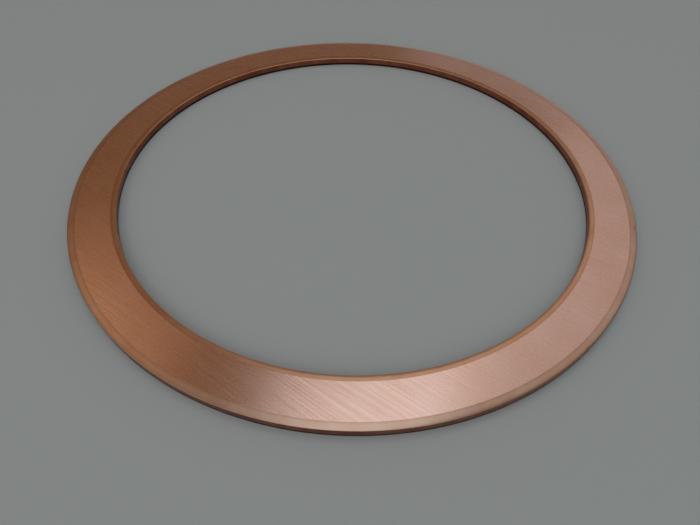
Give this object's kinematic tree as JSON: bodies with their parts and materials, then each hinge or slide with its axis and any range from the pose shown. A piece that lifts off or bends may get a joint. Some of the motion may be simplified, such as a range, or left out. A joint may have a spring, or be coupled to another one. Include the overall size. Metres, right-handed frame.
{
  "type": "flat washer",
  "caption": "Thin flat annular sealing washer of bare copper with a large plain hole, straight-brushed faces and rolled-over stamped edges.",
  "frame": {"origin": "centre of the hole, on the lower flat face that the washer lies on", "axes": "+Z along the washer's axis, towards the face with the rolled-over edges; X and Y lie in the lower face"},
  "size_m": [0.1204, 0.1204, 0.002],
  "materials": {
    "copper": "bare copper, faces sanded in straight parallel lines, rolled edges smooth"
  },
  "bodies": {
    "root": {"washer": "copper"}
  },
  "joints": []
}
